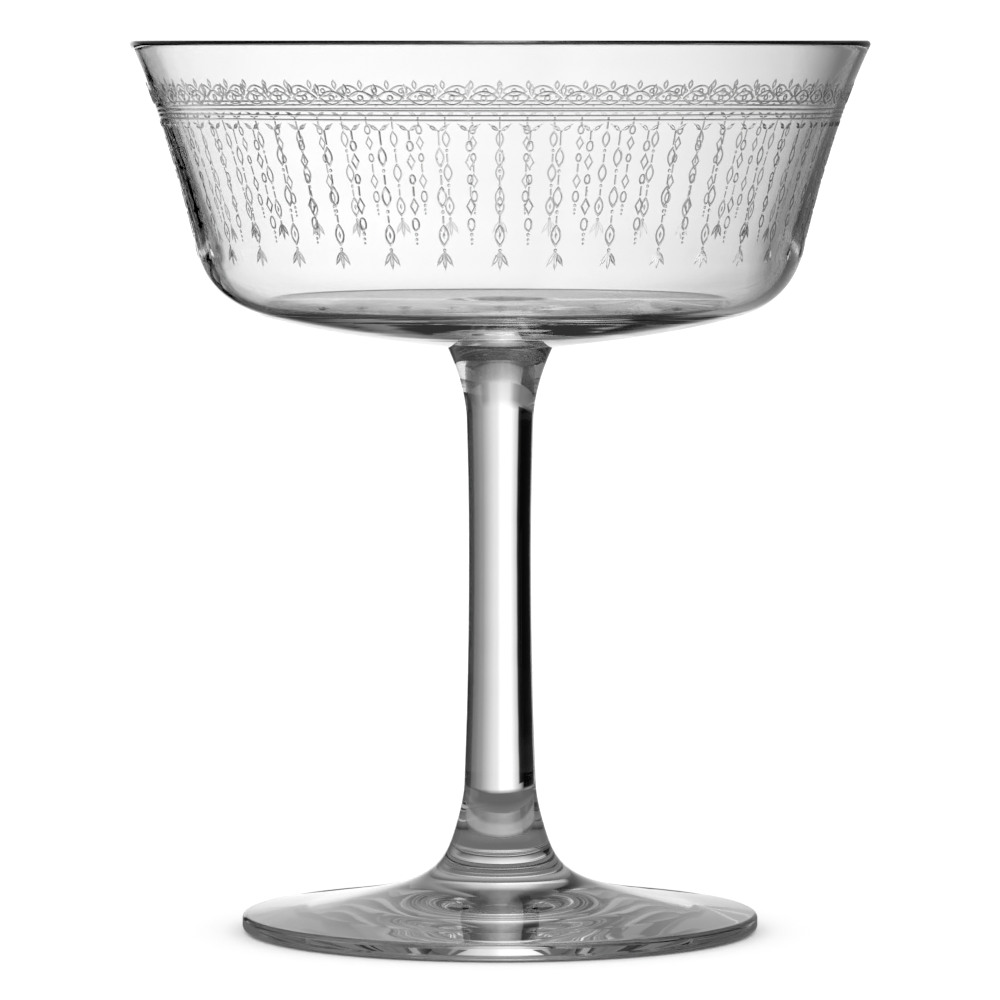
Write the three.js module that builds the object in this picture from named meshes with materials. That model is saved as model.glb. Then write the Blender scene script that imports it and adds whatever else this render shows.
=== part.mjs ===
// Champagne coupe in clear glass: a wide shallow bowl on a slim stem and a round foot.
// The three pieces are shaped one by one and fused at two flat seams, so each has its own solid.
// Millimetres, +Z up. The origin is the centre of the flat ring that the foot stands on.

import * as THREE from 'three';

// Foot: a pressed disc with a hub that flares up to meet the stem
const FOOT_DIAMETER = 70;
const FOOT_EDGE_THICKNESS = 2.25;
const FOOT_EDGE_ROUND = 0.7;
const KICK_RADIUS = 26; // the underside is hollow inside this radius, and flat outside it
const KICK_RISE = 1.3; // height of that hollow at the axis
const HUB_HEIGHT = 13; // from the resting ring up to the seam with the stem
const HUB_SIDE_REACH = 7.1; // how far the stem's flare runs on down the hub before it turns out
const FOOT_TURN_OUT = 6.13; // the hub's side would meet the foot's top this far outside the seam
const FOOT_TURN_HEIGHT = 5.47; // and at this height

// Stem: a drawn rod, slimmest at its waist, flared at both ends
const STEM_LENGTH = 66.15;
const STEM_FOOT_RADIUS = 6.35; // at the seam with the hub
const STEM_WAIST_RADIUS = 4.24;
const STEM_WAIST_HEIGHT = 37.86; // from the lower seam
const LOWER_NECK_RADIUS = 4.875; // where the lower flare begins
const LOWER_NECK_HEIGHT = 6.78;
const LOWER_FLARE_REACH = 2.42; // how far the rod's own line runs on into the lower flare
const UPPER_NECK_RADIUS = 4.53; // where the upper flare begins
const UPPER_NECK_HEIGHT = 56.29;
const UPPER_FLARE_REACH = 4.53; // how far the rod's own line runs on into the upper flare
const STEM_TOP_RADIUS = 7.16; // at the seam with the bowl

// Bowl: a blown shell, thickest over the stem and thinnest at its polished rim
const RIM_DIAMETER = 100;
const BOWL_DEPTH = 41.44; // from the seam with the stem up to the rim
const RIM_THICKNESS = 1;
const WALL_THICKNESS = 0.9; // at the waist of the wall
const HEEL_THICKNESS = 1.5; // where the base turns up into the wall
const FLOOR_THICKNESS = 5.5; // at the axis, over the stem
const BASE_BEND_RADIUS = 25.57; // the underside leaves the stem almost level and bends up here
const BASE_BEND_RISE = 1.99;
const HEEL_CORNER_RADIUS = 39.45; // the base and the wall would meet here without the heel's round
const HEEL_CORNER_RISE = 6.61;
const HEEL_ROUND = 11.1;
const HEEL_INNER_ROUND = 8;
const FLOOR_BEND_RADIUS = 31; // the floor inside is level out to about here
const WALL_WAIST_RADIUS = 44.82; // the wall leans out to here, then flares to the rim
const WALL_WAIST_RISE = 29.92;

// Steps round the axis and along each stretch of an outline
const ROUND_STEPS = 64;
const CURVE_STEPS = 8;
const ARC_STEPS = 6;
const EDGE_STEPS = 4;

/** A point of an outline: distance from the axis, then height. */
const at = (radius, height) => new THREE.Vector2(radius, height);

/** The point that lies the given length past `to`, on the line from `from`. */
const runOn = (from, to, length) => to.clone().sub(from).setLength(length).add(to);

/** A bend that leaves `from` and reaches `to` along their lines to one corner point. */
const bend = (from, corner, to) => new THREE.QuadraticBezierCurve(from, corner, to);

/** An arc from one angle to another, counter-clockwise. */
const arc = (centre, radius, start, end) =>
  new THREE.EllipseCurve(centre.x, centre.y, radius, radius, start, end, false, 0);

/** Where a line from a point touches a circle, to one side of it (1) or the other (-1). */
function touch(point, centre, radius, side) {
  const toPoint = point.clone().sub(centre);
  const turn = side * Math.acos(radius / toPoint.length());
  return toPoint.setLength(radius).rotateAround(at(0, 0), turn).add(centre);
}

/** The round that joins two lines at their corner, as points from the first line to the second. */
function roundCorner(from, corner, to, radius) {
  const back = from.clone().sub(corner).normalize();
  const onward = to.clone().sub(corner).normalize();
  const halfOpening = Math.acos(back.dot(onward)) / 2;
  const setback = radius / Math.tan(halfOpening);
  const middle = back.clone().add(onward).setLength(radius / Math.sin(halfOpening)).add(corner);
  const startArm = back.setLength(setback).add(corner).sub(middle);
  const endArm = onward.setLength(setback).add(corner).sub(middle);
  const sweep = Math.atan2(startArm.cross(endArm), startArm.dot(endArm));
  const points = [];
  for (let step = 0; step <= ARC_STEPS; step += 1) {
    const turn = (sweep * step) / ARC_STEPS;
    points.push(startArm.clone().rotateAround(at(0, 0), turn).add(middle));
  }
  return points;
}

/** One outline from several stretches, with the points that two stretches share kept once. */
function joinStretches(...stretches) {
  const outline = [];
  for (const point of stretches.flat()) {
    const last = outline.at(-1);
    if (!last || last.distanceTo(point) > 1e-6) {
      outline.push(point);
    }
  }
  return outline;
}

/** A named glass solid, turned about +Z from an outline that starts and ends on the axis. */
function glassPiece(name, outline) {
  const geometry = new THREE.LatheGeometry(outline, ROUND_STEPS);
  geometry.rotateX(Math.PI / 2);
  const glass = new THREE.MeshStandardMaterial({
    color: 0xf4f6f6,
    roughness: 0.02,
    metalness: 0,
    transparent: true,
    opacity: 0.35,
  });
  const mesh = new THREE.Mesh(geometry, glass);
  mesh.name = name;
  return mesh;
}

// Corner points of the stem that the hub under it also follows
const stemFootEdge = at(STEM_FOOT_RADIUS, 0);
const waist = at(STEM_WAIST_RADIUS, STEM_WAIST_HEIGHT);
const lowerNeck = at(LOWER_NECK_RADIUS, LOWER_NECK_HEIGHT);
const lowerBarrel = at(STEM_WAIST_RADIUS, (LOWER_NECK_HEIGHT + STEM_WAIST_HEIGHT) / 2);
const lowerFlare = runOn(lowerBarrel, lowerNeck, LOWER_FLARE_REACH);

/** Outline of the foot, from its hollow underside out to the edge and up to the hub. */
function footOutline() {
  const edge = FOOT_DIAMETER / 2;
  const roundCentre = edge - FOOT_EDGE_ROUND;
  const upperCentre = FOOT_EDGE_THICKNESS - FOOT_EDGE_ROUND;
  const hubTop = at(STEM_FOOT_RADIUS, HUB_HEIGHT);
  const hubSide = runOn(lowerFlare, stemFootEdge, HUB_SIDE_REACH).add(at(0, HUB_HEIGHT));
  const turnOut = at(STEM_FOOT_RADIUS + FOOT_TURN_OUT, FOOT_TURN_HEIGHT);
  const kick = bend(at(0, KICK_RISE), at(KICK_RADIUS / 2, KICK_RISE), at(KICK_RADIUS, 0));
  const lowerEdge = arc(at(roundCentre, FOOT_EDGE_ROUND), FOOT_EDGE_ROUND, -Math.PI / 2, 0);
  const upperEdge = arc(at(roundCentre, upperCentre), FOOT_EDGE_ROUND, 0, Math.PI / 2);
  const top = new THREE.CubicBezierCurve(at(roundCentre, FOOT_EDGE_THICKNESS), turnOut, hubSide, hubTop);
  return joinStretches(
    kick.getPoints(ARC_STEPS),
    lowerEdge.getPoints(EDGE_STEPS),
    upperEdge.getPoints(EDGE_STEPS),
    top.getPoints(2 * CURVE_STEPS),
    [at(0, HUB_HEIGHT)],
  );
}

/** Outline of the stem, from its lower seam face up to the one under the bowl. */
function stemOutline() {
  const upperNeck = at(UPPER_NECK_RADIUS, UPPER_NECK_HEIGHT);
  const upperBarrel = at(STEM_WAIST_RADIUS, (STEM_WAIST_HEIGHT + UPPER_NECK_HEIGHT) / 2);
  const upperFlare = runOn(upperBarrel, upperNeck, UPPER_FLARE_REACH);
  const top = at(STEM_TOP_RADIUS, STEM_LENGTH);
  return joinStretches(
    [at(0, 0)],
    bend(stemFootEdge, lowerFlare, lowerNeck).getPoints(ARC_STEPS),
    bend(lowerNeck, lowerBarrel, waist).getPoints(EDGE_STEPS),
    bend(waist, upperBarrel, upperNeck).getPoints(EDGE_STEPS),
    bend(upperNeck, upperFlare, top).getPoints(CURVE_STEPS),
    [at(0, STEM_LENGTH)],
  );
}

/** Outline of the bowl, from the seam up its outside, over the rim and down its inside. */
function bowlOutline() {
  const seat = at(STEM_TOP_RADIUS, 0);
  const baseBend = at(BASE_BEND_RADIUS, BASE_BEND_RISE);
  const heelCorner = at(HEEL_CORNER_RADIUS, HEEL_CORNER_RISE);
  const wallWaist = at(WALL_WAIST_RADIUS, WALL_WAIST_RISE);
  const heel = roundCorner(baseBend, heelCorner, wallWaist, HEEL_ROUND);

  const innerWaist = wallWaist.clone().sub(at(WALL_THICKNESS, 0));
  const wallLean = wallWaist.clone().sub(heelCorner).angle();
  const baseLean = heelCorner.clone().sub(baseBend).angle();
  const inward = (wallLean + baseLean + Math.PI) / 2;
  const cornerDepth = HEEL_THICKNESS / Math.cos((wallLean - baseLean) / 2);
  const innerCorner = at(Math.cos(inward), Math.sin(inward)).setLength(cornerDepth).add(heelCorner);
  const floorBend = at(FLOOR_BEND_RADIUS, FLOOR_THICKNESS);
  const innerHeel = roundCorner(innerWaist, innerCorner, floorBend, HEEL_INNER_ROUND);

  const lipRound = RIM_THICKNESS / 2;
  const lip = at(RIM_DIAMETER / 2 - lipRound, BOWL_DEPTH - lipRound);
  const outerLip = touch(wallWaist, lip, lipRound, 1);
  const innerLip = touch(innerWaist, lip, lipRound, -1);
  const lipStart = outerLip.clone().sub(lip).angle() - 2 * Math.PI;
  const lipEnd = innerLip.clone().sub(lip).angle();
  return joinStretches(
    [at(0, 0)],
    bend(seat, baseBend, heel[0]).getPoints(CURVE_STEPS),
    heel,
    bend(heel.at(-1), wallWaist, outerLip).getPoints(CURVE_STEPS),
    arc(lip, lipRound, lipStart, lipEnd).getPoints(EDGE_STEPS),
    bend(innerLip, innerWaist, innerHeel[0]).getPoints(CURVE_STEPS),
    innerHeel,
    bend(innerHeel.at(-1), floorBend, at(0, FLOOR_THICKNESS)).getPoints(CURVE_STEPS),
  );
}

const foot = glassPiece('foot', footOutline());

const stem = glassPiece('stem', stemOutline());
stem.position.z = HUB_HEIGHT;

const bowl = glassPiece('bowl', bowlOutline());
bowl.position.z = HUB_HEIGHT + STEM_LENGTH;

const coupe = new THREE.Group();
coupe.add(foot, stem, bowl);

export default coupe;
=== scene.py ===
"""Champagne coupe in clear glass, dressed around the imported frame.

A thin blown bowl with a needle-etched band, a drawn stem and a pressed foot are fused into one glass.
Fields hold millimetres and degrees. Meshes hold metres, in the frame's own axes.
"""

import logging
import math
from dataclasses import dataclass
from enum import Enum

import bmesh
import bpy
import numpy as np
from mathutils import Matrix, Vector, noise
from mathutils.geometry import interpolate_bezier


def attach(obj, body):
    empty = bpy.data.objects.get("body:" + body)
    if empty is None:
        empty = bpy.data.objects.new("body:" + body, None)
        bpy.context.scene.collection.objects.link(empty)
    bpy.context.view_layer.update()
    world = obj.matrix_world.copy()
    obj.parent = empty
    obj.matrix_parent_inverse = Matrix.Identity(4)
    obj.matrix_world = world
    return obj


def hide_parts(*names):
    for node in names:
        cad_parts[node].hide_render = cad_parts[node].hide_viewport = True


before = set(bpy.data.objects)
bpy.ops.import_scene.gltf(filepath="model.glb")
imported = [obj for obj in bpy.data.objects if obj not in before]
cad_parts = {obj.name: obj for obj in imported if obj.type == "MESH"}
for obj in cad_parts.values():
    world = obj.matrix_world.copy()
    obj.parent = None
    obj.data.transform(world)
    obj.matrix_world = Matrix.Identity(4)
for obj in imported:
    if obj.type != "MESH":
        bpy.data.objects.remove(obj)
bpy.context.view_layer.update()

LOG = logging.getLogger("coupe")
MM = 0.001

# Points closer than this are one point: in metres on a finished piece, in millimetres on a flat drawing.
WELD = 1e-7
FLAT_WELD = 1e-4

# A face is level where its normal stands at least this upright.
LEVEL = 0.999

# Light that is mirrored over and over inside the glass needs many bounces to find its way out.
BOUNCES = 32

# The three pieces are fused at two level seams, given here by height and radius.
LOWER_SEAM = 13
LOWER_SEAM_RADIUS = 6.35
UPPER_SEAM = 79.15
UPPER_SEAM_RADIUS = 7.16

# Tones along a scale: a place on it in degrees or millimetres, then the brightness there.
Stops = tuple[tuple[float, float], ...]


def linear(code: str) -> tuple[float, float, float, float]:
    """Turn an sRGB hex colour into linear RGBA.

    Args:
        code: six hex digits, such as "F4F6F6".

    Returns:
        Red, green, blue and an alpha of 1.
    """
    parts = [int(code[i : i + 2], 16) / 255 for i in (0, 2, 4)]
    red, green, blue = (p / 12.92 if p <= 0.04045 else ((p + 0.055) / 1.055) ** 2.4 for p in parts)
    return red, green, blue, 1.0


def add_node(
    tree: bpy.types.NodeTree, kind: str, inputs: dict | None = None, **settings: object
) -> bpy.types.Node:
    """Add a node to a tree, with its settings, its values and its links.

    Args:
        tree: the tree of a material or the world.
        kind: the node's type, such as "ShaderNodeMath".
        inputs: for each input by name or number, a value, or the output that feeds it.
        settings: the node's own properties.

    Returns:
        The new node.
    """
    node = tree.nodes.new(kind)
    for name, value in settings.items():
        setattr(node, name, value)
    for key, value in (inputs or {}).items():
        if isinstance(value, bpy.types.NodeSocket):
            tree.links.new(value, node.inputs[key])
        else:
            node.inputs[key].default_value = value
    return node


def set_stops(ramp: bpy.types.ColorRamp, stops: list[tuple[float, float]]) -> None:
    """Give a colour ramp its stops of grey.

    Args:
        ramp: the ramp of a Color Ramp node.
        stops: place along the ramp from 0 to 1, and brightness, in order.
    """
    ramp.interpolation = "LINEAR"
    while len(ramp.elements) < len(stops):
        ramp.elements.new(1.0)
    for element, (place, level) in zip(ramp.elements, stops):
        element.position = place
        element.color = (level, level, level, 1.0)


def new_tree(name: str) -> tuple[bpy.types.Material, bpy.types.NodeTree]:
    """Make a material with an empty node tree.

    Args:
        name: the material's name.

    Returns:
        The material and its tree.
    """
    material = bpy.data.materials.new(name)
    material.use_nodes = True
    material.node_tree.nodes.clear()
    return material, material.node_tree


@dataclass(frozen=True)
class ClearGlass:
    """Soda-lime glass, fire polished, with faint cords left by the melt."""

    name: str
    cord_length: float
    cord_width: float
    ior: float = 1.52
    roughness: float = 0.0
    bright: str = "FFFFFF"
    dull: str = "FAFAFA"

    def material(self) -> bpy.types.Material:
        """Make the glass, which its cords tint a little.

        Returns:
            The material.
        """
        material, tree = new_tree(self.name)
        place = add_node(tree, "ShaderNodeTexCoord")
        # Cords lie round the axis, because the glass was turned while it was soft.
        along, across = 1 / (self.cord_length * MM), 1 / (self.cord_width * MM)
        lie = add_node(
            tree, "ShaderNodeMapping", {"Vector": place.outputs["Object"], "Scale": (along, along, across)}
        )
        cords = add_node(
            tree, "ShaderNodeTexNoise", {"Vector": lie.outputs[0], "Scale": 1.0, "Detail": 2.0}
        )
        tint = add_node(
            tree,
            "ShaderNodeMix",
            {"Factor": cords.outputs["Fac"], "A": linear(self.dull), "B": linear(self.bright)},
            data_type="RGBA",
        )
        glass = add_node(
            tree,
            "ShaderNodeBsdfPrincipled",
            {
                "Base Color": tint.outputs["Result"],
                "Roughness": self.roughness,
                "IOR": self.ior,
                "Transmission Weight": 1.0,
            },
        )
        add_node(tree, "ShaderNodeOutputMaterial", {"Surface": glass.outputs[0]})
        return material


@dataclass(frozen=True)
class FusedSeam:
    """The inside of a hot joint: glass runs on through it, so it has no surface to see."""

    name: str = "glass_fused_joint"
    colour: str = "FFFFFF"

    def material(self) -> bpy.types.Material:
        """Make the joint, which light passes unbent.

        Returns:
            The material.
        """
        material, tree = new_tree(self.name)
        clear = add_node(tree, "ShaderNodeBsdfTransparent", {"Color": linear(self.colour)})
        add_node(tree, "ShaderNodeOutputMaterial", {"Surface": clear.outputs[0]})
        return material


# Fire-polished glass shows the eye no colour and no surface of its own, only bent light and dark edges.
# Its cords are as long and as wide as blowing, drawing or pressing leaves them.
BOWL_GLASS = ClearGlass("soda_lime_glass_blown", cord_length=30, cord_width=6)
STEM_GLASS = ClearGlass("soda_lime_glass_drawn", cord_length=12, cord_width=5)
FOOT_GLASS = ClearGlass("soda_lime_glass_pressed", cord_length=9, cord_width=3)
# The etched lines are clear too: their slopes turn the light aside, so the eye sees fine grey lines.
ETCHED_GLASS = ClearGlass("soda_lime_glass_needle_etched", cord_length=2, cord_width=2)


def at(radius: float, height: float) -> Vector:
    """A point of an outline, in millimetres: distance from the axis, then height."""
    return Vector((radius, 0.0, height))


def run_on(start: Vector, end: Vector, length: float) -> Vector:
    """The point that lies a length past the end of a line."""
    return end + (end - start).normalized() * length


class Outline:
    """Half a section of a turned piece, drawn from the axis and back to it."""

    def __init__(self, start: Vector) -> None:
        """Start the outline at a point."""
        self.points = [start]

    def line(self, end: Vector) -> None:
        """Draw a straight stretch."""
        self.points.append(end)

    def cubic(self, first: Vector, second: Vector, end: Vector, steps: int) -> None:
        """Draw a curve.

        Args:
            first: the corner that the curve leaves towards.
            second: the corner that it arrives from.
            end: where it ends.
            steps: how many edges it has.
        """
        self.points += interpolate_bezier(self.points[-1], first, second, end, steps + 1)[1:]

    def bend(self, corner: Vector, end: Vector, steps: int) -> None:
        """Draw a curve that leaves and arrives along its lines to one corner.

        Args:
            corner: where those lines meet.
            end: where it ends.
            steps: how many edges it has.
        """
        start = self.points[-1]
        self.cubic(start.lerp(corner, 2 / 3), end.lerp(corner, 2 / 3), end, steps)

    def arc(self, centre: Vector, sweep: float, steps: int) -> None:
        """Draw an arc about a centre.

        Args:
            centre: the arc's centre.
            sweep: its angle in radians, positive where it turns from the radius up to the height.
            steps: how many edges it has.
        """
        arm = self.points[-1] - centre
        for step in range(1, steps + 1):
            self.points.append(centre + Matrix.Rotation(-sweep * step / steps, 3, "Y") @ arm)


def corner_round(
    before: Vector, corner: Vector, after: Vector, radius: float
) -> tuple[Vector, Vector, float]:
    """Find the arc that rounds a corner.

    Args:
        before: a point on the line that comes in.
        corner: where the two lines meet.
        after: a point on the line that goes out.
        radius: the arc's radius.

    Returns:
        Where the arc starts, its centre and its sweep in radians.
    """
    back, onward = (before - corner).normalized(), (after - corner).normalized()
    half = back.angle(onward) / 2
    start = corner + back * (radius / math.tan(half))
    centre = corner + (back + onward).normalized() * (radius / math.sin(half))
    turn = (corner - before).cross(after - corner).y
    return start, centre, math.copysign(math.pi - 2 * half, -turn)


def touch(point: Vector, centre: Vector, radius: float, side: int) -> Vector:
    """Find where a line from a point touches a circle.

    Args:
        point: the point that the line comes from.
        centre: the circle's centre.
        radius: the circle's radius.
        side: 1 for one side of the circle, -1 for the other.

    Returns:
        The point on the circle.
    """
    arm = point - centre
    turn = side * math.acos(radius / arm.length)
    return centre + Matrix.Rotation(-turn, 3, "Y") @ (arm.normalized() * radius)


def to_object(name: str, mesh: bmesh.types.BMesh, *materials: bpy.types.Material) -> bpy.types.Object:
    """Put a finished bmesh in the scene as a piece of the glass.

    Args:
        name: the piece's name.
        mesh: its shape, which is freed.
        materials: its materials, by slot.

    Returns:
        The new object, at the origin.
    """
    data = bpy.data.meshes.new(name)
    mesh.to_mesh(data)
    mesh.free()
    for material in materials:
        data.materials.append(material)
    piece = bpy.data.objects.new(name, data)
    bpy.context.collection.objects.link(piece)
    return piece


@dataclass
class TurnedPiece:
    """A piece of glass that is round about the axis of the stem."""

    node: str
    glass: ClearGlass
    seat: float
    seams: tuple[float, ...]
    wave_height: float = 0.015
    wave_length: float = 2.5
    wave_breaks: float = 1.5
    wave_fade: float = 2.0
    still_below: float = 0.0
    still_beyond: float = 200.0
    wave_seed: int = 2
    round_steps: int = 256

    def outline(self) -> Outline:
        """Draw the half section, from the axis and back to it."""
        raise NotImplementedError

    def in_seam(self, face: bmesh.types.BMFace) -> bool:
        """Tell whether a face lies level in one of the fused seams."""
        height = face.verts[0].co.z
        return abs(face.normal.z) > LEVEL and any(abs(height - seam * MM) < WELD for seam in self.seams)

    def shape(self) -> bmesh.types.BMesh:
        """Turn the half section about the axis into a closed, smooth solid, its seam faces set apart.

        Returns:
            The solid, in metres.
        """
        mesh = bmesh.new()
        points = [(point + at(0, self.seat)) * MM for point in self.outline().points]
        verts = [mesh.verts.new(point) for point in points]
        edges = [mesh.edges.new(pair) for pair in zip(verts, verts[1:])]
        bmesh.ops.spin(
            mesh,
            geom=verts + edges,
            cent=(0, 0, 0),
            axis=(0, 0, 1),
            angle=math.tau,
            steps=self.round_steps,
            use_merge=True,
        )
        bmesh.ops.remove_doubles(mesh, verts=mesh.verts, dist=WELD)
        bmesh.ops.recalc_face_normals(mesh, faces=mesh.faces)
        for face in mesh.faces:
            face.smooth = True
        joints = [face for face in mesh.faces if self.in_seam(face)]
        for face in joints:
            face.material_index, face.smooth = 1, False
        for edge in {edge for face in joints for edge in face.edges}:
            edge.smooth = len({face.material_index for face in edge.link_faces}) == 1
        self.wave(mesh)
        return mesh

    def wave(self, mesh: bmesh.types.BMesh) -> None:
        """Leave the faint marks of turning the soft glass, but none at the seams or where it lies still.

        Args:
            mesh: the solid, in metres.
        """
        # Without a seed of its own, the noise would lie elsewhere each time.
        noise.seed_set(self.wave_seed)
        for vert in mesh.verts:
            height, radius = vert.co.z / MM, vert.co.xy.length / MM
            clear = [abs(height - seam) for seam in self.seams]
            clear += [height - self.still_below, self.still_beyond - radius]
            share = min(max(min(clear) / self.wave_fade, 0), 1)
            around = vert.co.xy.normalized() * self.wave_breaks
            place = Vector((*around, (radius + height) / self.wave_length))
            vert.co += noise.noise_vector(place) * self.wave_height * MM * share

    def build(self) -> bpy.types.Object:
        """Make the piece, dress it and let it stand for its CAD node.

        Returns:
            The piece.
        """
        piece = to_object(f"{self.node}_glass", self.shape(), self.glass.material(), FusedSeam().material())
        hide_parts(self.node)
        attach(piece, "root")
        return piece


@dataclass
class Foot(TurnedPiece):
    """A pressed disc with a shallow hollow below and a hub that rises to the stem."""

    still_below: float = 2
    diameter: float = 70
    edge_thickness: float = 2.25
    edge_round: float = 0.7
    kick_radius: float = 26
    kick_rise: float = 1.3
    hub_height: float = LOWER_SEAM
    hub_radius: float = LOWER_SEAM_RADIUS
    hub_side: tuple[float, float] = (8.486, 6.229)
    turn_out: tuple[float, float] = (12.48, 5.47)
    kick_steps: int = 40
    edge_steps: int = 12
    top_steps: int = 90

    def outline(self) -> Outline:
        """Draw the hollow, the standing ring, the round edge, and the top that rises to the hub.

        Returns:
            The half section.
        """
        rim = self.diameter / 2 - self.edge_round
        shoulder = self.edge_thickness - self.edge_round
        drawn = Outline(at(0, self.kick_rise))
        drawn.bend(at(self.kick_radius / 2, self.kick_rise), at(self.kick_radius, 0), self.kick_steps)
        drawn.line(at(rim, 0))
        drawn.arc(at(rim, self.edge_round), math.pi / 2, self.edge_steps)
        drawn.line(at(rim + self.edge_round, shoulder))
        drawn.arc(at(rim, shoulder), math.pi / 2, self.edge_steps)
        hub = at(self.hub_radius, self.hub_height)
        drawn.cubic(at(*self.turn_out), at(*self.hub_side), hub, self.top_steps)
        drawn.line(at(0, self.hub_height))
        return drawn


@dataclass
class Stem(TurnedPiece):
    """A drawn rod, slimmest at its waist and flared at both ends."""

    wave_length: float = 3.0
    length: float = UPPER_SEAM - LOWER_SEAM
    foot_radius: float = LOWER_SEAM_RADIUS
    waist: tuple[float, float] = (4.24, 37.86)
    lower_neck: tuple[float, float] = (4.875, 6.78)
    lower_reach: float = 2.42
    upper_neck: tuple[float, float] = (4.53, 56.29)
    upper_reach: float = 4.53
    top_radius: float = UPPER_SEAM_RADIUS
    lower_steps: int = 40
    barrel_steps: int = 30
    upper_steps: int = 50

    def outline(self) -> Outline:
        """Draw the lower flare, the long waist and the upper flare.

        Returns:
            The half section.
        """
        waist, lower, upper = at(*self.waist), at(*self.lower_neck), at(*self.upper_neck)
        lower_barrel = at(waist.x, (lower.z + waist.z) / 2)
        upper_barrel = at(waist.x, (upper.z + waist.z) / 2)
        top = at(self.top_radius, self.length)
        drawn = Outline(at(0, 0))
        drawn.line(at(self.foot_radius, 0))
        drawn.bend(run_on(lower_barrel, lower, self.lower_reach), lower, self.lower_steps)
        drawn.bend(lower_barrel, waist, self.barrel_steps)
        drawn.bend(upper_barrel, upper, self.barrel_steps)
        drawn.bend(run_on(upper_barrel, upper, self.upper_reach), top, self.upper_steps)
        drawn.line(at(0, self.length))
        return drawn


@dataclass
class Bowl(TurnedPiece):
    """A blown shell with a flared wall, a round heel and a thick floor over the stem."""

    wave_height: float = 0.02
    still_beyond: float = 27
    seat_radius: float = UPPER_SEAM_RADIUS
    rim_diameter: float = 99.93
    depth: float = 41.4
    rim_thickness: float = 1
    wall_thickness: float = 0.9
    floor_thickness: float = 5.5
    base_bend: tuple[float, float] = (25.57, 1.99)
    heel_corner: tuple[float, float] = (39.45, 6.61)
    heel_round: float = 11.1
    heel_inside: float = 37
    heel_inner_round: float = 9.2
    wall_waist: tuple[float, float] = (44.82, 29.92)
    floor_bend: float = 16.4
    button_radius: float = 8.2
    button_foot: float = 6.97
    button_crown: float = 4.1
    button_rise: float = 0.6
    base_steps: int = 50
    heel_steps: int = 24
    wall_steps: int = 30
    lip_steps: int = 14
    inner_heel_steps: int = 32
    floor_steps: int = 30
    button_steps: int = 20

    def outline(self) -> Outline:
        """Draw the underside, heel and wall outside, the lip, and the wall, heel and floor inside.

        Returns:
            The half section.
        """
        base, corner, waist = at(*self.base_bend), at(*self.heel_corner), at(*self.wall_waist)
        lip_round = self.rim_thickness / 2
        lip = at(self.rim_diameter / 2 - lip_round, self.depth - lip_round)
        inner_waist = waist - at(self.wall_thickness, 0)
        outer_lip, inner_lip = touch(waist, lip, lip_round, 1), touch(inner_waist, lip, lip_round, -1)

        drawn = Outline(at(0, 0))
        drawn.line(at(self.seat_radius, 0))
        start, centre, sweep = corner_round(base, corner, waist, self.heel_round)
        drawn.bend(base, start, self.base_steps)
        drawn.arc(centre, sweep, self.heel_steps)
        drawn.bend(waist, outer_lip, self.wall_steps)
        drawn.arc(lip, (outer_lip - lip).angle(inner_lip - lip), self.lip_steps)

        floor = self.floor_thickness
        top = floor + self.button_rise
        inner_corner = at(self.heel_inside, floor)
        start, centre, sweep = corner_round(inner_waist, inner_corner, at(0, floor), self.heel_inner_round)
        drawn.bend(inner_waist, start, self.wall_steps)
        drawn.arc(centre, sweep, self.inner_heel_steps)
        drawn.bend(at(self.floor_bend, floor), at(self.button_radius, floor), self.floor_steps)
        drawn.cubic(at(self.button_foot, floor), at(self.button_crown, top), at(0, top), self.button_steps)
        return drawn


class Shape(Enum):
    """The closed forms that the etcher's needle draws."""

    OVAL = "oval"
    NAVETTE = "navette"
    LOZENGE = "lozenge"

    def across(self, side: float, up: float) -> float:
        """Find how far the form reaches sideways at a point of the unit circle.

        Args:
            side: the point's place sideways.
            up: the point's place upwards.

        Returns:
            The reach, from -1 to 1.
        """
        if self is Shape.NAVETTE:
            return side * abs(side)
        if self is Shape.LOZENGE:
            return math.copysign(1 - abs(up), side)
        return side


@dataclass(frozen=True)
class Motif:
    """One etched form, drawn as a ring or filled, by its centre, its half sizes and its lean."""

    shape: Shape
    side: float
    height: float
    half_width: float
    half_height: float
    lean: float = 0.0
    filled: bool = False
    corners: int = 16
    tip_inset: float = 1.7

    def draw(self, mesh: bmesh.types.BMesh, weight: float) -> None:
        """Add the form to a flat drawing.

        Args:
            mesh: the drawing, sideways along X and upwards along Y.
            weight: how wide the needle's line is.
        """
        circle = bmesh.ops.create_circle(mesh, cap_ends=self.filled, segments=self.corners, radius=1.0)
        outer, inner = list(circle["verts"]), []
        if not self.filled:
            edges = list({edge for vert in outer for edge in vert.link_edges})
            grown = bmesh.ops.extrude_edge_only(mesh, edges=edges)["geom"]
            inner = [item for item in grown if isinstance(item, bmesh.types.BMVert)]
        # Pointed tips are set in deeper, so that the line is as wide there as along the sides.
        tip = weight if self.shape is Shape.OVAL else self.tip_inset * weight
        for verts, width, height in (
            (outer, self.half_width, self.half_height),
            (inner, self.half_width - weight, self.half_height - tip),
        ):
            for vert in verts:
                vert.co.x, vert.co.y = self.shape.across(vert.co.x, vert.co.y) * width, vert.co.y * height
        turn = Matrix.Rotation(math.radians(self.lean), 3, "Z")
        bmesh.ops.rotate(mesh, verts=outer + inner, cent=(0, 0, 0), matrix=turn)
        bmesh.ops.translate(mesh, verts=outer + inner, vec=(self.side, self.height, 0))


def pearl_at(side: float, height: float, radius: float) -> Motif:
    """A small filled pearl at a place on the drawing."""
    return Motif(Shape.OVAL, side, height, radius, radius, filled=True, corners=8)


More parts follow.
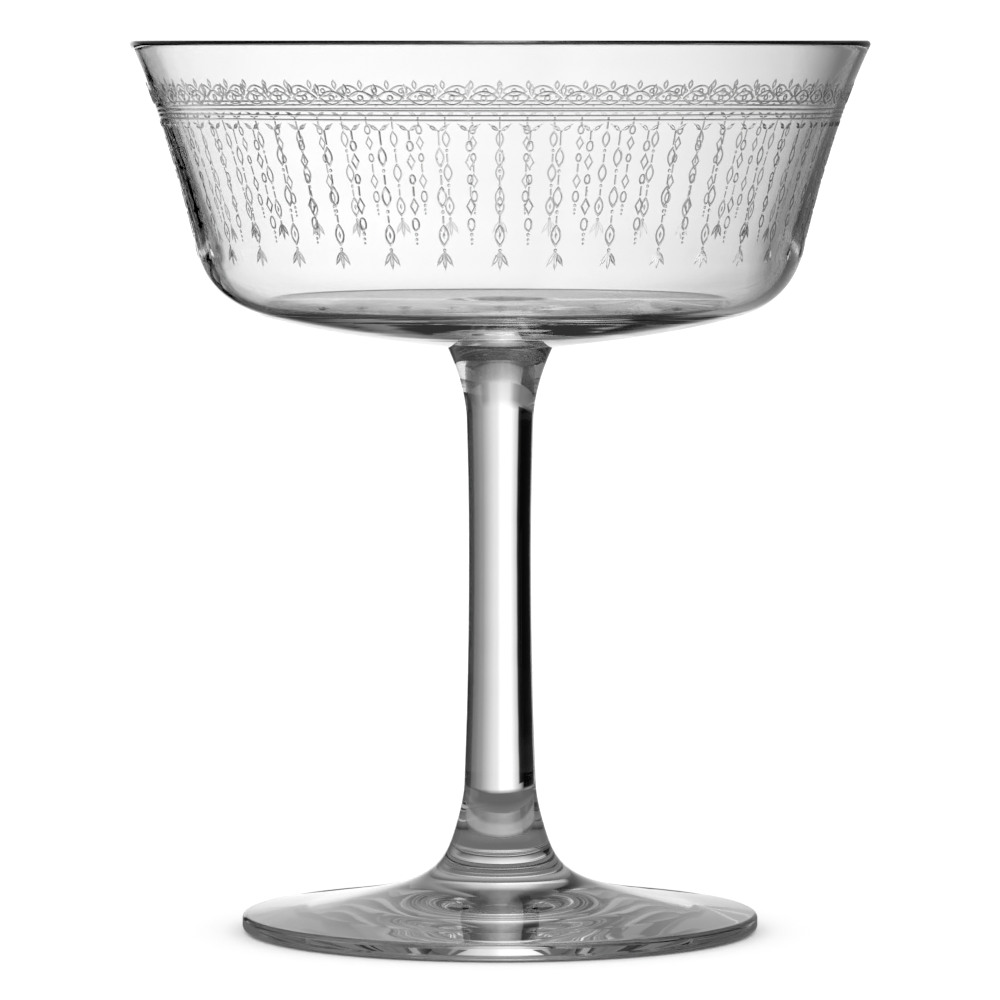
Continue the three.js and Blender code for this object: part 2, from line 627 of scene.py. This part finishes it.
@dataclass(frozen=True)
class Stroke:
    """A straight etched line between two points."""

    start: tuple[float, float]
    end: tuple[float, float]
    steps: int = 1

    def draw(self, mesh: bmesh.types.BMesh, weight: float) -> None:
        """Add the line to a flat drawing.

        Args:
            mesh: the drawing, sideways along X and upwards along Y.
            weight: how wide the needle's line is.
        """
        start = Vector((*self.start, 0))
        run = Vector((*self.end, 0)) - start
        verts = bmesh.ops.create_grid(mesh, x_segments=self.steps, y_segments=1, size=0.5)["verts"]
        bmesh.ops.scale(mesh, verts=verts, vec=(run.length, weight, 1))
        turn = Matrix.Rotation(math.atan2(run.y, run.x), 3, "Z")
        bmesh.ops.rotate(mesh, verts=verts, cent=(0, 0, 0), matrix=turn)
        bmesh.ops.translate(mesh, verts=verts, vec=start + run / 2)


@dataclass
class EtchedBand:
    """Fine lines in low relief on the outside of the bowl, one drawing repeated round it."""

    name: str
    bowl: Bowl
    repeats: int = 36
    radius: float = 46
    weight: float = 0.28
    shoulder: float = 0.13
    relief: float = 0.08
    edge: float = 0.01
    gap: float = 0.005

    def width(self) -> float:
        """The width of one drawing."""
        return math.tau * self.radius / self.repeats

    def drawing(self) -> list[Motif | Stroke]:
        """Draw the forms and lines of one repeat, in heights above the table."""
        raise NotImplementedError

    def flat(self) -> bmesh.types.BMesh:
        """Draw all the lines on the flat, as one row of drawings.

        Returns:
            The lines, sideways along X and upwards along Y, in millimetres.
        """
        mesh = bmesh.new()
        for item in self.drawing():
            item.draw(mesh, self.weight)
        bmesh.ops.spin(
            mesh,
            geom=mesh.verts[:] + mesh.edges[:] + mesh.faces[:],
            cent=(0, 0, 0),
            axis=(0, 0, 1),
            dvec=(self.width(), 0, 0),
            angle=0,
            steps=self.repeats - 1,
            use_duplicate=True,
        )
        bmesh.ops.remove_doubles(mesh, verts=mesh.verts, dist=FLAT_WELD)
        mesh.normal_update()
        bmesh.ops.reverse_faces(mesh, faces=[face for face in mesh.faces if face.normal.z < 0])
        return mesh

    def raise_lines(self, mesh: bmesh.types.BMesh) -> None:
        """Give flat lines a sharp foot and sloping shoulders.

        Args:
            mesh: the lines, which are raised along Z.
        """
        grown = bmesh.ops.extrude_face_region(mesh, geom=mesh.faces[:])["geom"]
        tops = [item for item in grown if isinstance(item, bmesh.types.BMFace)]
        verts = [item for item in grown if isinstance(item, bmesh.types.BMVert)]
        bmesh.ops.translate(mesh, verts=verts, vec=(0, 0, self.edge))
        mesh.normal_update()
        bmesh.ops.inset_region(
            mesh,
            faces=tops,
            thickness=self.shoulder,
            depth=self.relief - self.edge,
            use_boundary=True,
            use_even_offset=True,
        )

    def wrap(self, mesh: bmesh.types.BMesh) -> None:
        """Lay flat lines round the wall of the bowl and scale them to metres.

        Args:
            mesh: the lines, raised along Z.
        """
        points = self.bowl.outline().points
        lip = max(range(len(points)), key=lambda i: points[i].z)
        heights, radii = zip(*((point.z + self.bowl.seat, point.x) for point in points[1 : lip + 1]))
        for vert in mesh.verts:
            out = float(np.interp(vert.co.y, heights, radii)) + self.gap + vert.co.z
            turn = vert.co.x / self.radius
            vert.co = Vector((out * math.sin(turn), -out * math.cos(turn), vert.co.y)) * MM
        bmesh.ops.remove_doubles(mesh, verts=mesh.verts, dist=WELD)
        bmesh.ops.recalc_face_normals(mesh, faces=mesh.faces)

    def build(self) -> bpy.types.Object:
        """Make the lines and dress them.

        Returns:
            The piece.
        """
        mesh = self.flat()
        self.raise_lines(mesh)
        self.wrap(mesh)
        piece = to_object(self.name, mesh, ETCHED_GLASS.material())
        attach(piece, "root")
        return piece


@dataclass
class RuledBorder(EtchedBand):
    """A chain of eyes with pearls and leaves over three ruled lines, two eyes to a drawing."""

    eye_height: float = 113.1
    eye_half: float = 1.0
    eye_gap: float = 0.1
    iris: float = 0.46
    leaf_height: float = 114.15
    leaf: tuple[float, float] = (0.42, 0.85)
    pearl_height: float = 112.2
    pearl: float = 0.2
    rules: tuple[float, ...] = (111.45, 110.85, 110.25)
    rule_steps: int = 8

    def drawing(self) -> list[Motif | Stroke]:
        """Draw the eyes, each with a leaf and a pearl beside it, and the rules under them.

        Returns:
            The forms and lines.
        """
        quarter = self.width() / 4
        long = quarter - self.eye_gap
        drawn = []
        for side in (-quarter, quarter):
            drawn += [
                Motif(Shape.NAVETTE, side, self.eye_height, self.eye_half, long, lean=90, corners=20),
                Motif(Shape.OVAL, side, self.eye_height, self.iris, self.iris, corners=12),
                Motif(Shape.NAVETTE, side - quarter, self.leaf_height, *self.leaf, corners=12),
                pearl_at(side - quarter, self.pearl_height, self.pearl),
            ]
        for height in self.rules:
            drawn.append(Stroke((-2 * quarter, height), (2 * quarter, height), steps=self.rule_steps))
        return drawn


@dataclass
class HangingDrops(EtchedBand):
    """Long drops of pointed forms and short ones of lozenges and pearls, each under a pair of leaves."""

    leaf_height: float = 109.35
    leaf: tuple[float, float] = (0.3, 0.7)
    leaf_lean: float = 58
    leaf_spread: float = 0.725
    long_links: tuple[tuple[float, float], ...] = ((108.9, 107.0), (103.2, 101.9), (97.9, 96.9))
    long_forms: tuple[tuple[float, float, float], ...] = (
        (105.5, 0.66, 1.35),
        (100.3, 0.74, 1.45),
        (95.3, 0.8, 1.5),
    )
    long_pearls: tuple[float, ...] = (103.7, 98.4, 93.4)
    long_pearl: float = 0.26
    heart: tuple[float, float, float] = (95.3, 0.2, 0.5)
    tassel_height: float = 91.95
    tassel: tuple[float, float] = (0.34, 1.05)
    tassel_lean: float = 32
    tassel_spread: float = 0.6154
    tassel_lift: float = 0.3556
    short_links: tuple[tuple[float, float], ...] = ((108.9, 107.7), (101.7, 100.4))
    short_forms: tuple[tuple[Shape, float, float, float], ...] = (
        (Shape.OVAL, 106.9, 0.55, 0.75),
        (Shape.LOZENGE, 104.9, 0.66, 1.15),
        (Shape.OVAL, 102.6, 0.5, 0.7),
        (Shape.LOZENGE, 99.1, 0.7, 1.2),
        (Shape.OVAL, 96.75, 0.6, 0.9),
    )
    short_pearls: tuple[tuple[float, float], ...] = ((95.45, 0.26), (94.8, 0.22), (94.25, 0.18))

    def leaves(self, side: float) -> list[Motif | Stroke]:
        """Draw the pair of leaves that a drop hangs from.

        Args:
            side: the drop's place sideways.

        Returns:
            The two leaves.
        """
        return [
            Motif(
                Shape.NAVETTE,
                side + hand * self.leaf_spread,
                self.leaf_height,
                *self.leaf,
                lean=-hand * self.leaf_lean,
                corners=10,
            )
            for hand in (-1, 1)
        ]

    def long_drop(self) -> list[Motif | Stroke]:
        """Draw the long drop, which ends in a tassel of three leaves.

        Returns:
            The forms and lines.
        """
        drawn = [Stroke((0, top), (0, bottom)) for top, bottom in self.long_links]
        drawn += [Motif(Shape.NAVETTE, 0, *form) for form in self.long_forms]
        drawn += [pearl_at(0, height, self.long_pearl) for height in self.long_pearls]
        drawn.append(Motif(Shape.LOZENGE, 0, *self.heart, filled=True, corners=4))
        for hand in (-1, 0, 1):
            height = self.tassel_height + abs(hand) * self.tassel_lift
            lean = hand * self.tassel_lean
            drawn.append(
                Motif(Shape.NAVETTE, hand * self.tassel_spread, height, *self.tassel, lean=lean, corners=12)
            )
        return drawn

    def short_drop(self, side: float) -> list[Motif | Stroke]:
        """Draw the short drop, which ends in pearls.

        Args:
            side: its place sideways.

        Returns:
            The forms and lines.
        """
        drawn = [Stroke((side, top), (side, bottom)) for top, bottom in self.short_links]
        drawn += [Motif(shape, side, *form) for shape, *form in self.short_forms]
        drawn += [pearl_at(side, height, radius) for height, radius in self.short_pearls]
        return drawn

    def drawing(self) -> list[Motif | Stroke]:
        """Draw the two pairs of leaves, the long drop and the short one."""
        middle = self.width() / 2
        return self.leaves(0) + self.leaves(middle) + self.long_drop() + self.short_drop(middle)


class Spread(Enum):
    """Which way the light on a card changes: out from the axis, sideways, or forwards and backwards."""

    ROUND = (1.0, 1.0, 0.0)
    SIDEWAYS = (1.0, 0.0, 0.0)
    FORWARD = (0.0, 1.0, 0.0)


@dataclass(frozen=True)
class Card:
    """A lit card by the glass, hidden from the camera and the floor, so that only the glass shows it."""

    name: str
    spread: Spread
    levels: Stops
    # The card fades in between these distances. With these two it is whole everywhere.
    edge: tuple[float, float] = (-1, 0)

    def material(self) -> bpy.types.Material:
        """Make the card's face, whose light changes with distance and whose edge may be soft.

        Returns:
            The material.
        """
        material, tree = new_tree(self.name)
        place = add_node(tree, "ShaderNodeTexCoord")
        flat = add_node(
            tree, "ShaderNodeMapping", {"Vector": place.outputs["Object"], "Scale": self.spread.value}
        )
        length = add_node(tree, "ShaderNodeVectorMath", {0: flat.outputs[0]}, operation="LENGTH")
        away = length.outputs["Value"]
        reach = self.levels[-1][0]
        along = add_node(tree, "ShaderNodeMapRange", {"Value": away, "From Max": reach * MM})
        tone = add_node(tree, "ShaderNodeValToRGB", {0: along.outputs[0]})
        set_stops(tone.color_ramp, [(distance / reach, level) for distance, level in self.levels])
        start, end = self.edge
        cover = add_node(
            tree, "ShaderNodeMapRange", {"Value": away, "From Min": start * MM, "From Max": end * MM}
        )
        face = add_node(tree, "ShaderNodeEmission", {"Color": tone.outputs[0]})
        clear = add_node(tree, "ShaderNodeBsdfTransparent")
        mixed = add_node(
            tree, "ShaderNodeMixShader", {0: cover.outputs[0], 1: clear.outputs[0], 2: face.outputs[0]}
        )
        add_node(tree, "ShaderNodeOutputMaterial", {"Surface": mixed.outputs[0]})
        return material

    def build(self, mesh: bmesh.types.BMesh) -> bpy.types.Object:
        """Put the card in the scene as part of the stage.

        Args:
            mesh: its shape, which is freed.

        Returns:
            The card.
        """
        card = to_object(self.name, mesh, self.material())
        card.visible_camera = card.visible_diffuse = card.visible_shadow = False
        return card


@dataclass
class Studio:
    """A bright field behind the glass, cards at its sides and a light table below, as for any clear glass.

    Directions run from -180 to 180 degrees, with 0 behind the glass and 90 on its right.
    """

    soft_light: float = 1.2
    soft_colour: str = "FFFFFF"
    # What the glass sees round it, level with it and higher up
    field: Stops = (
        (-180, 0.03),
        (-112, 0.03),
        (-105, 0.9),
        (-75, 0.9),
        (-66, 0.0),
        (-32, 0.0),
        (-26, 0.45),
        (-20, 0.75),
        (-14, 1.08),
        (-2, 1.2),
        (0, 1.12),
        (2, 0.95),
        (4, 0.88),
        (7, 0.84),
        (12, 0.7),
        (18, 0.5),
        (25, 0.34),
        (33, 0.18),
        (45, 0.06),
        (70, 0.02),
        (100, 0.02),
        (115, 0.6),
        (155, 0.6),
        (170, 0.03),
        (180, 0.03),
    )
    strip: Stops = (
        (-180, 0.2),
        (-24, 0.2),
        (-16, 0.42),
        (-10, 0.9),
        (-4, 1.0),
        (0, 0.97),
        (4, 0.82),
        (10, 0.7),
        (14, 0.45),
        (20, 0.28),
        (26, 0.2),
        (180, 0.2),
    )
    strip_rise: Stops = ((-90, 0.0), (5, 0.0), (9, 1.0), (90, 1.0))
    fade_up: Stops = (
        (-90, 1.0),
        (6, 1.0),
        (12, 0.9),
        (20, 0.78),
        (27, 0.5),
        (33, 0.26),
        (50, 0.2),
        (60, 0.11),
        (90, 0.09),
    )
    # What it sees below its level, and the dark hollow behind it there
    ground: Stops = (
        (-180, 0.25),
        (-75, 0.25),
        (-60, 0.5),
        (-35, 0.5),
        (-26, 0.2),
        (-14, 0.4),
        (-10, 0.5),
        (10, 0.4),
        (15, 0.15),
        (30, 0.05),
        (70, 0.05),
        (100, 0.7),
        (115, 0.9),
        (150, 0.9),
        (165, 0.25),
        (180, 0.25),
    )
    horizon: Stops = ((-90, 1.0), (-15.5, 1.0), (-12.5, 0.0), (90, 0.0))
    well: Stops = ((-180, 0.0), (-42, 0.0), (-34, 1.0), (34, 1.0), (42, 0.0), (180, 0.0))
    well_depth: Stops = ((-90, 0.0), (-56, 0.0), (-46, 1.0), (-18, 1.0), (-13, 0.0), (90, 0.0))
    well_colour: str = "303030"
    # The floor that shows the glass's shadow, and the table that only the glass sees, darker in front
    floor_colour: str = "FEFEFE"
    floor_radius: float = 150
    floor_fade: float = 90
    floor_drop: float = 0.2
    disc_steps: int = 96
    table_radius: float = 72
    table_drop: float = 0.1
    table_light: Stops = (
        (0, 0.25),
        (8, 0.16),
        (15, 0.16),
        (18, 0.42),
        (25, 0.42),
        (28, 0.2),
        (40, 0.2),
        (50, 0.13),
        (72, 0.13),
    )
    mat_drop: float = 0.05
    mat_light: Stops = ((0, 0.1), (16, 0.1), (22, 0.02), (72, 0.0))
    mat_edge: tuple[float, float] = (0, 16)
    # The black flag on the left, the stand that holds it up, and the grey shade on the right
    flag_light: Stops = ((0, 0.0), (340, 0.0))
    flag_sides: tuple[float, float] = (-340, -80)
    flag_rise: tuple[float, float] = (40, 98)
    flag_edge: tuple[float, float] = (80, 90)
    flag_distance: float = 200
    stand_sides: tuple[float, float] = (-120, -80)
    stand_rise: tuple[float, float] = (-20, 40)
    shade_light: Stops = ((0, 0.6), (50, 0.42), (75, 0.26), (97, 0.16), (150, 0.05), (300, 0.02))
    shade_sides: tuple[float, float] = (50, 300)
    shade_rise: tuple[float, float] = (-20, 180)
    shade_edge: tuple[float, float] = (50, 64)
    shade_distance: float = 150

    def around(
        self, tree: bpy.types.NodeTree, turn: bpy.types.NodeSocket, stops: Stops
    ) -> bpy.types.NodeSocket:
        """Make a tone that changes with the compass direction.

        Args:
            tree: the world's tree.
            turn: the direction, from 0 to 1 for -180 to 180 degrees.
            stops: direction in degrees and level.

        Returns:
            The tone.
        """
        ramp = add_node(tree, "ShaderNodeValToRGB", {0: turn})
        set_stops(ramp.color_ramp, [((angle + 180) / 360, level) for angle, level in stops])
        return ramp.outputs[0]

    def upward(
        self, tree: bpy.types.NodeTree, rise: bpy.types.NodeSocket, stops: Stops
    ) -> bpy.types.NodeSocket:
        """Make a tone that changes with the height above the horizon.

        Args:
            tree: the world's tree.
            rise: the height, from 0 for straight down to 1 for straight up.
            stops: height in degrees and level.

        Returns:
            The tone.
        """
        ramp = add_node(tree, "ShaderNodeValToRGB", {0: rise})
        sines = [(math.sin(math.radians(angle)), level) for angle, level in stops]
        set_stops(ramp.color_ramp, [((sine + 1) / 2, level) for sine, level in sines])
        return ramp.outputs[0]

    def room(self, tree: bpy.types.NodeTree) -> bpy.types.NodeSocket:
        """Make what the glass sees round it: the field with its fall-off, the ground and the dark hollow.

        Args:
            tree: the world's tree.

        Returns:
            The tone in each direction.
        """
        ray = add_node(tree, "ShaderNodeTexCoord")
        axes = add_node(tree, "ShaderNodeSeparateXYZ", {0: ray.outputs["Generated"]})
        angle = add_node(
            tree, "ShaderNodeMath", {0: axes.outputs["X"], 1: axes.outputs["Y"]}, operation="ARCTAN2"
        )
        turned = add_node(
            tree,
            "ShaderNodeMapRange",
            {"Value": angle.outputs[0], "From Min": -math.pi, "From Max": math.pi},
        )
        raised = add_node(tree, "ShaderNodeMapRange", {"Value": axes.outputs["Z"], "From Min": -1.0})
        turn, rise = turned.outputs[0], raised.outputs[0]
        wall = add_node(
            tree,
            "ShaderNodeMix",
            {
                "Factor": self.upward(tree, rise, self.strip_rise),
                "A": self.around(tree, turn, self.field),
                "B": self.around(tree, turn, self.strip),
            },
            data_type="RGBA",
        )
        backdrop = add_node(
            tree,
            "ShaderNodeMix",
            {"Factor": 1.0, "A": wall.outputs["Result"], "B": self.upward(tree, rise, self.fade_up)},
            data_type="RGBA",
            blend_type="MULTIPLY",
        )
        grounded = add_node(
            tree,
            "ShaderNodeMix",
            {
                "Factor": self.upward(tree, rise, self.horizon),
                "A": backdrop.outputs["Result"],
                "B": self.around(tree, turn, self.ground),
            },
            data_type="RGBA",
        )
        hollow = add_node(
            tree,
            "ShaderNodeMath",
            {0: self.around(tree, turn, self.well), 1: self.upward(tree, rise, self.well_depth)},
            operation="MULTIPLY",
        )
        hollowed = add_node(
            tree,
            "ShaderNodeMix",
            {"Factor": hollow.outputs[0], "A": grounded.outputs["Result"], "B": linear(self.well_colour)},
            data_type="RGBA",
        )
        return hollowed.outputs["Result"]

    def world(self) -> None:
        """Plain soft white light and background, and in the glass the room with its bright field."""
        world = bpy.data.worlds.new("studio")
        bpy.context.scene.world = world
        world.use_nodes = True
        tree = world.node_tree
        tree.nodes.clear()
        path = add_node(tree, "ShaderNodeLightPath")
        in_glass = add_node(
            tree,
            "ShaderNodeMath",
            {0: path.outputs["Is Glossy Ray"], 1: path.outputs["Is Transmission Ray"]},
            operation="MAXIMUM",
        )
        soft = add_node(
            tree, "ShaderNodeBackground", {"Color": linear(self.soft_colour), "Strength": self.soft_light}
        )
        shown = add_node(tree, "ShaderNodeBackground", {"Color": self.room(tree), "Strength": 1.0})
        light = add_node(
            tree, "ShaderNodeMixShader", {0: in_glass.outputs[0], 1: soft.outputs[0], 2: shown.outputs[0]}
        )
        add_node(tree, "ShaderNodeOutputWorld", {"Surface": light.outputs[0]})

    def disc(self, radius: float, drop: float, front_only: bool = False) -> bmesh.types.BMesh:
        """Make a level disc under the glass.

        Args:
            radius: the disc's radius.
            drop: how far it lies below the standing ring.
            front_only: whether only the half on the camera's side is kept.

        Returns:
            The disc.
        """
        mesh = bmesh.new()
        bmesh.ops.create_circle(mesh, cap_ends=True, segments=self.disc_steps, radius=radius * MM)
        bmesh.ops.translate(mesh, verts=mesh.verts, vec=(0, 0, -drop * MM))
        if front_only:
            geometry = mesh.verts[:] + mesh.edges[:] + mesh.faces[:]
            bmesh.ops.bisect_plane(
                mesh, geom=geometry, plane_co=(0, 0, 0), plane_no=(0, 1, 0), clear_outer=True
            )
        return mesh

    def upright(
        self, sides: tuple[float, float], rise: tuple[float, float], distance: float
    ) -> bmesh.types.BMesh:
        """Make a standing board behind the glass.

        Args:
            sides: its left and its right edge.
            rise: its lower and its upper edge.
            distance: how far behind the axis it stands.

        Returns:
            The board.
        """
        (left, right), (bottom, top) = sides, rise
        mesh = bmesh.new()
        bmesh.ops.create_grid(mesh, x_segments=1, y_segments=1, size=0.5)
        bmesh.ops.scale(mesh, verts=mesh.verts, vec=((right - left) * MM, (top - bottom) * MM, 1))
        stand_up = Matrix.Rotation(math.pi / 2, 3, "X")
        bmesh.ops.rotate(mesh, verts=mesh.verts, cent=(0, 0, 0), matrix=stand_up)
        middle = Vector(((left + right) / 2, distance, (bottom + top) / 2))
        bmesh.ops.translate(mesh, verts=mesh.verts, vec=middle * MM)
        return mesh

    def floor(self) -> bpy.types.Object:
        """Lay a white floor that fades into the background.

        Returns:
            The floor.
        """
        material, tree = new_tree("white_matt_floor")
        place = add_node(tree, "ShaderNodeTexCoord")
        reach = add_node(tree, "ShaderNodeVectorMath", {0: place.outputs["Object"]}, operation="LENGTH")
        fade = add_node(
            tree,
            "ShaderNodeMapRange",
            {
                "Value": reach.outputs["Value"],
                "From Min": self.floor_fade * MM,
                "From Max": self.floor_radius * MM,
            },
        )
        paint = add_node(tree, "ShaderNodeBsdfDiffuse", {"Color": linear(self.floor_colour)})
        clear = add_node(tree, "ShaderNodeBsdfTransparent")
        mixed = add_node(
            tree, "ShaderNodeMixShader", {0: fade.outputs[0], 1: paint.outputs[0], 2: clear.outputs[0]}
        )
        add_node(tree, "ShaderNodeOutputMaterial", {"Surface": mixed.outputs[0]})
        floor = to_object("floor", self.disc(self.floor_radius, self.floor_drop), material)
        floor.visible_glossy = floor.visible_transmission = False
        return floor

    def cards(self) -> None:
        """Set up the table with its dark mat, the flag on its stand, and the shade."""
        table = Card("light_table", Spread.ROUND, self.table_light)
        table.build(self.disc(self.table_radius, self.table_drop))
        mat = Card("dark_mat", Spread.FORWARD, self.mat_light, self.mat_edge)
        mat.build(self.disc(self.table_radius, self.mat_drop, front_only=True))
        flag = Card("black_flag", Spread.SIDEWAYS, self.flag_light, self.flag_edge)
        flag.build(self.upright(self.flag_sides, self.flag_rise, self.flag_distance))
        stand = Card("black_stand", Spread.SIDEWAYS, self.flag_light, self.flag_edge)
        stand.build(self.upright(self.stand_sides, self.stand_rise, self.flag_distance))
        shade = Card("grey_shade", Spread.SIDEWAYS, self.shade_light, self.shade_edge)
        shade.build(self.upright(self.shade_sides, self.shade_rise, self.shade_distance))

    def build(self) -> None:
        """Set the whole studio up: the world's light, the floor and the cards."""
        self.world()
        self.floor()
        self.cards()


@dataclass(frozen=True)
class ViewPoint:
    """The photograph's own camera, fitted to the outline of the glass."""

    lens: float = 253.93
    sensor: float = 36.0
    place: tuple[float, float, float] = (0.0, -954.07, 120.6)
    look_down: float = 3.731
    clip_start: float = 10

    def build(self) -> bpy.types.Object:
        """Set the camera up and make it the scene's.

        Returns:
            The camera.
        """
        data = bpy.data.cameras.new("camera")
        data.lens = self.lens
        data.sensor_width = self.sensor
        data.clip_start = self.clip_start * MM
        camera = bpy.data.objects.new("camera", data)
        camera.location = Vector(self.place) * MM
        camera.rotation_euler = (math.radians(90 - self.look_down), 0, 0)
        bpy.context.collection.objects.link(camera)
        bpy.context.scene.camera = camera
        return camera


def main() -> None:
    """Set up the studio, build the glass from the foot up and log how many faces each piece has."""
    logging.basicConfig(level=logging.INFO, format="%(message)s")
    scene = bpy.context.scene
    scene.view_settings.view_transform = "Standard"
    scene.cycles.max_bounces = BOUNCES
    scene.cycles.transmission_bounces = BOUNCES
    scene.cycles.glossy_bounces = BOUNCES
    ViewPoint().build()
    Studio().build()
    foot = Foot("foot", FOOT_GLASS, seat=0, seams=(LOWER_SEAM,))
    stem = Stem("stem", STEM_GLASS, seat=LOWER_SEAM, seams=(LOWER_SEAM, UPPER_SEAM))
    bowl = Bowl("bowl", BOWL_GLASS, seat=UPPER_SEAM, seams=(UPPER_SEAM,))
    border = RuledBorder("etched_border", bowl)
    drops = HangingDrops("etched_drops", bowl)
    for part in (foot, stem, bowl, border, drops):
        piece = part.build()
        LOG.info("%s: %d faces", piece.name, len(piece.data.polygons))


if __name__ == "__main__":
    main()
